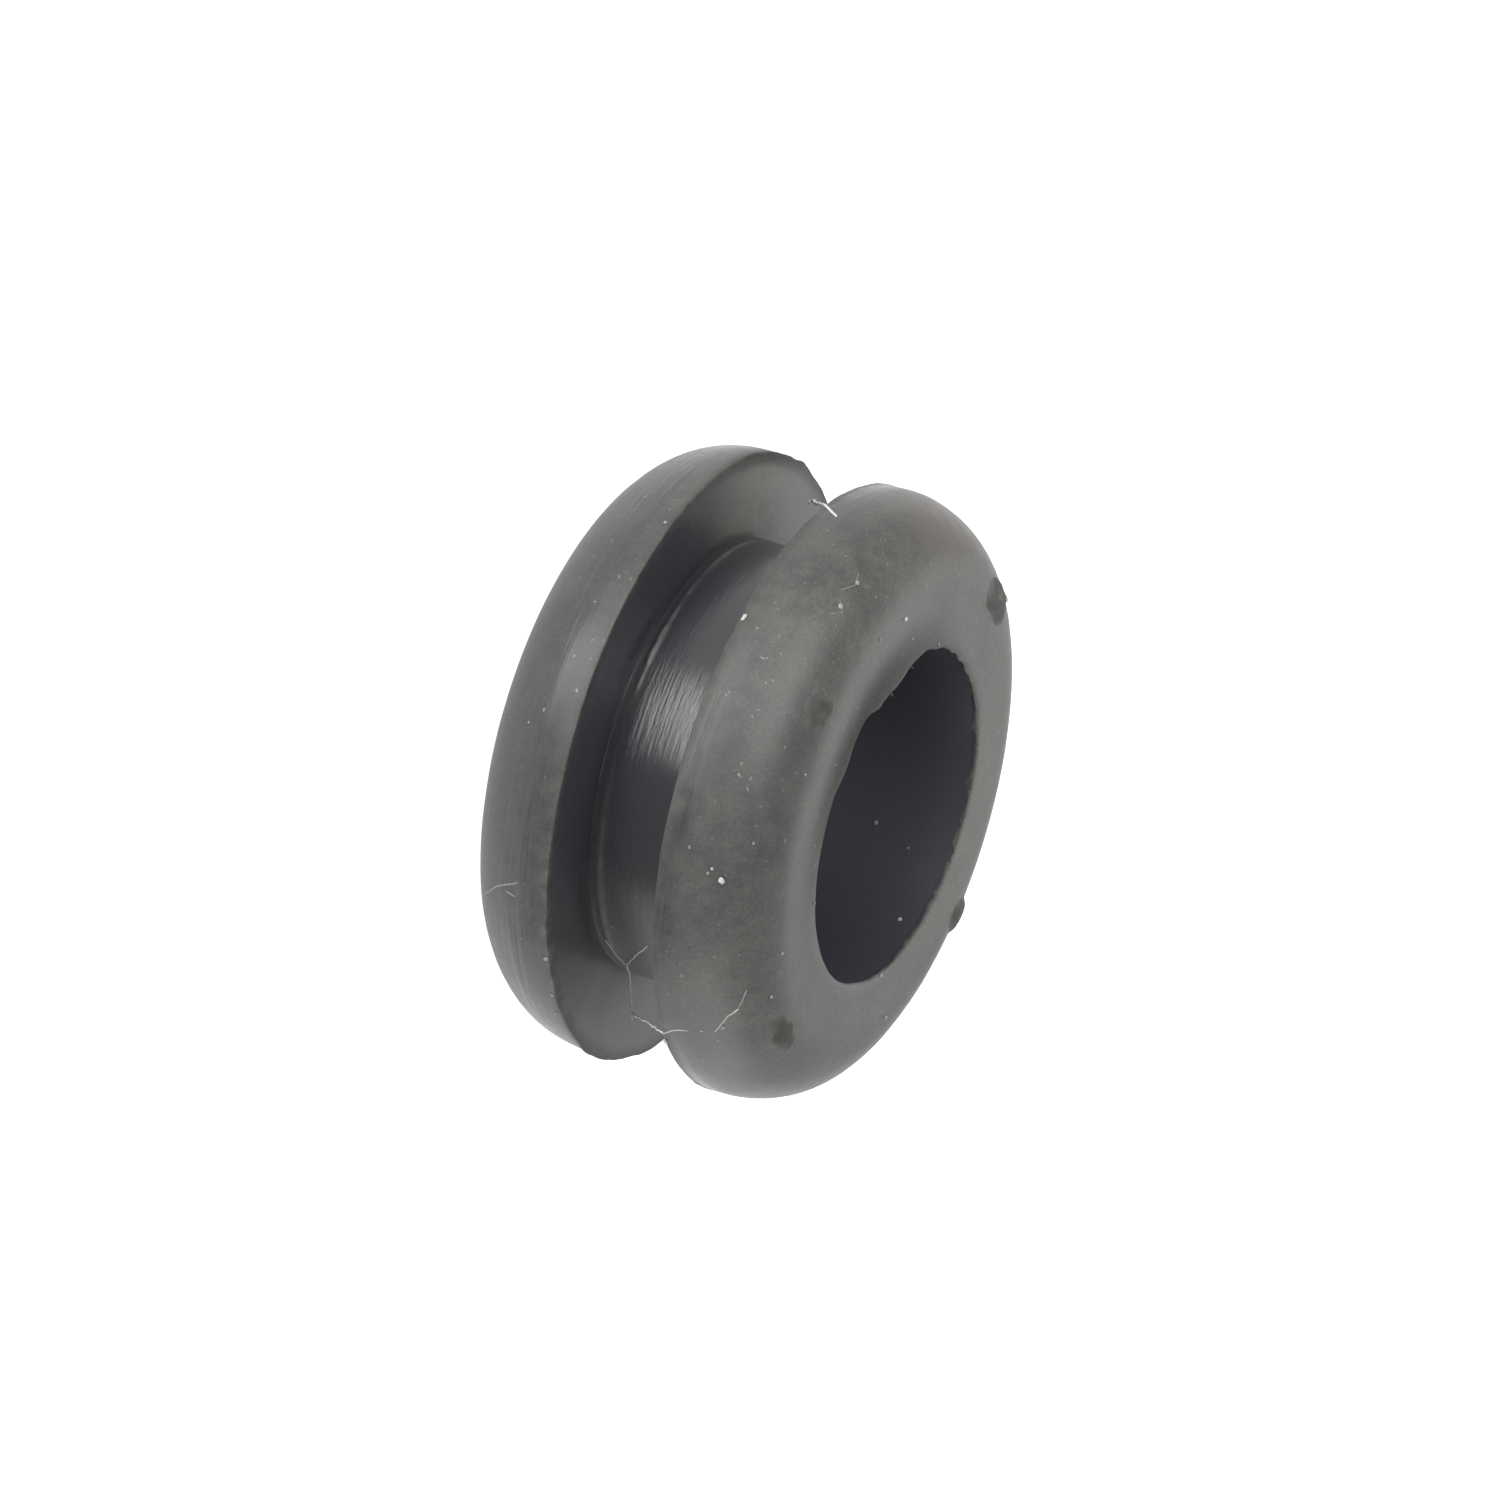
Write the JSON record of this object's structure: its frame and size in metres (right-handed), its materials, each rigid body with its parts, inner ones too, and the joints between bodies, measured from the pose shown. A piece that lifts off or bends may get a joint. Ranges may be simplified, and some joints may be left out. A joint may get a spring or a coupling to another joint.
{
  "type": "rubber grommet bushing",
  "caption": "One-piece moulded rubber vibration bushing: two domed flanges, a groove that snaps into a panel hole, and a through bore for a sleeve or bolt.",
  "frame": {"origin": "centre of the lower end face, where the bushing's axis meets the surface it stands on", "axes": "+Z along the bore axis, from the plain end it stands on to the end with the four vent pips; one pip lies 20 degrees from +X towards -Y"},
  "size_m": [0.018, 0.018, 0.0097],
  "materials": {
    "black_rubber": "satin"
  },
  "bodies": {
    "root": {"rubber_bushing": "black_rubber"}
  },
  "joints": []
}
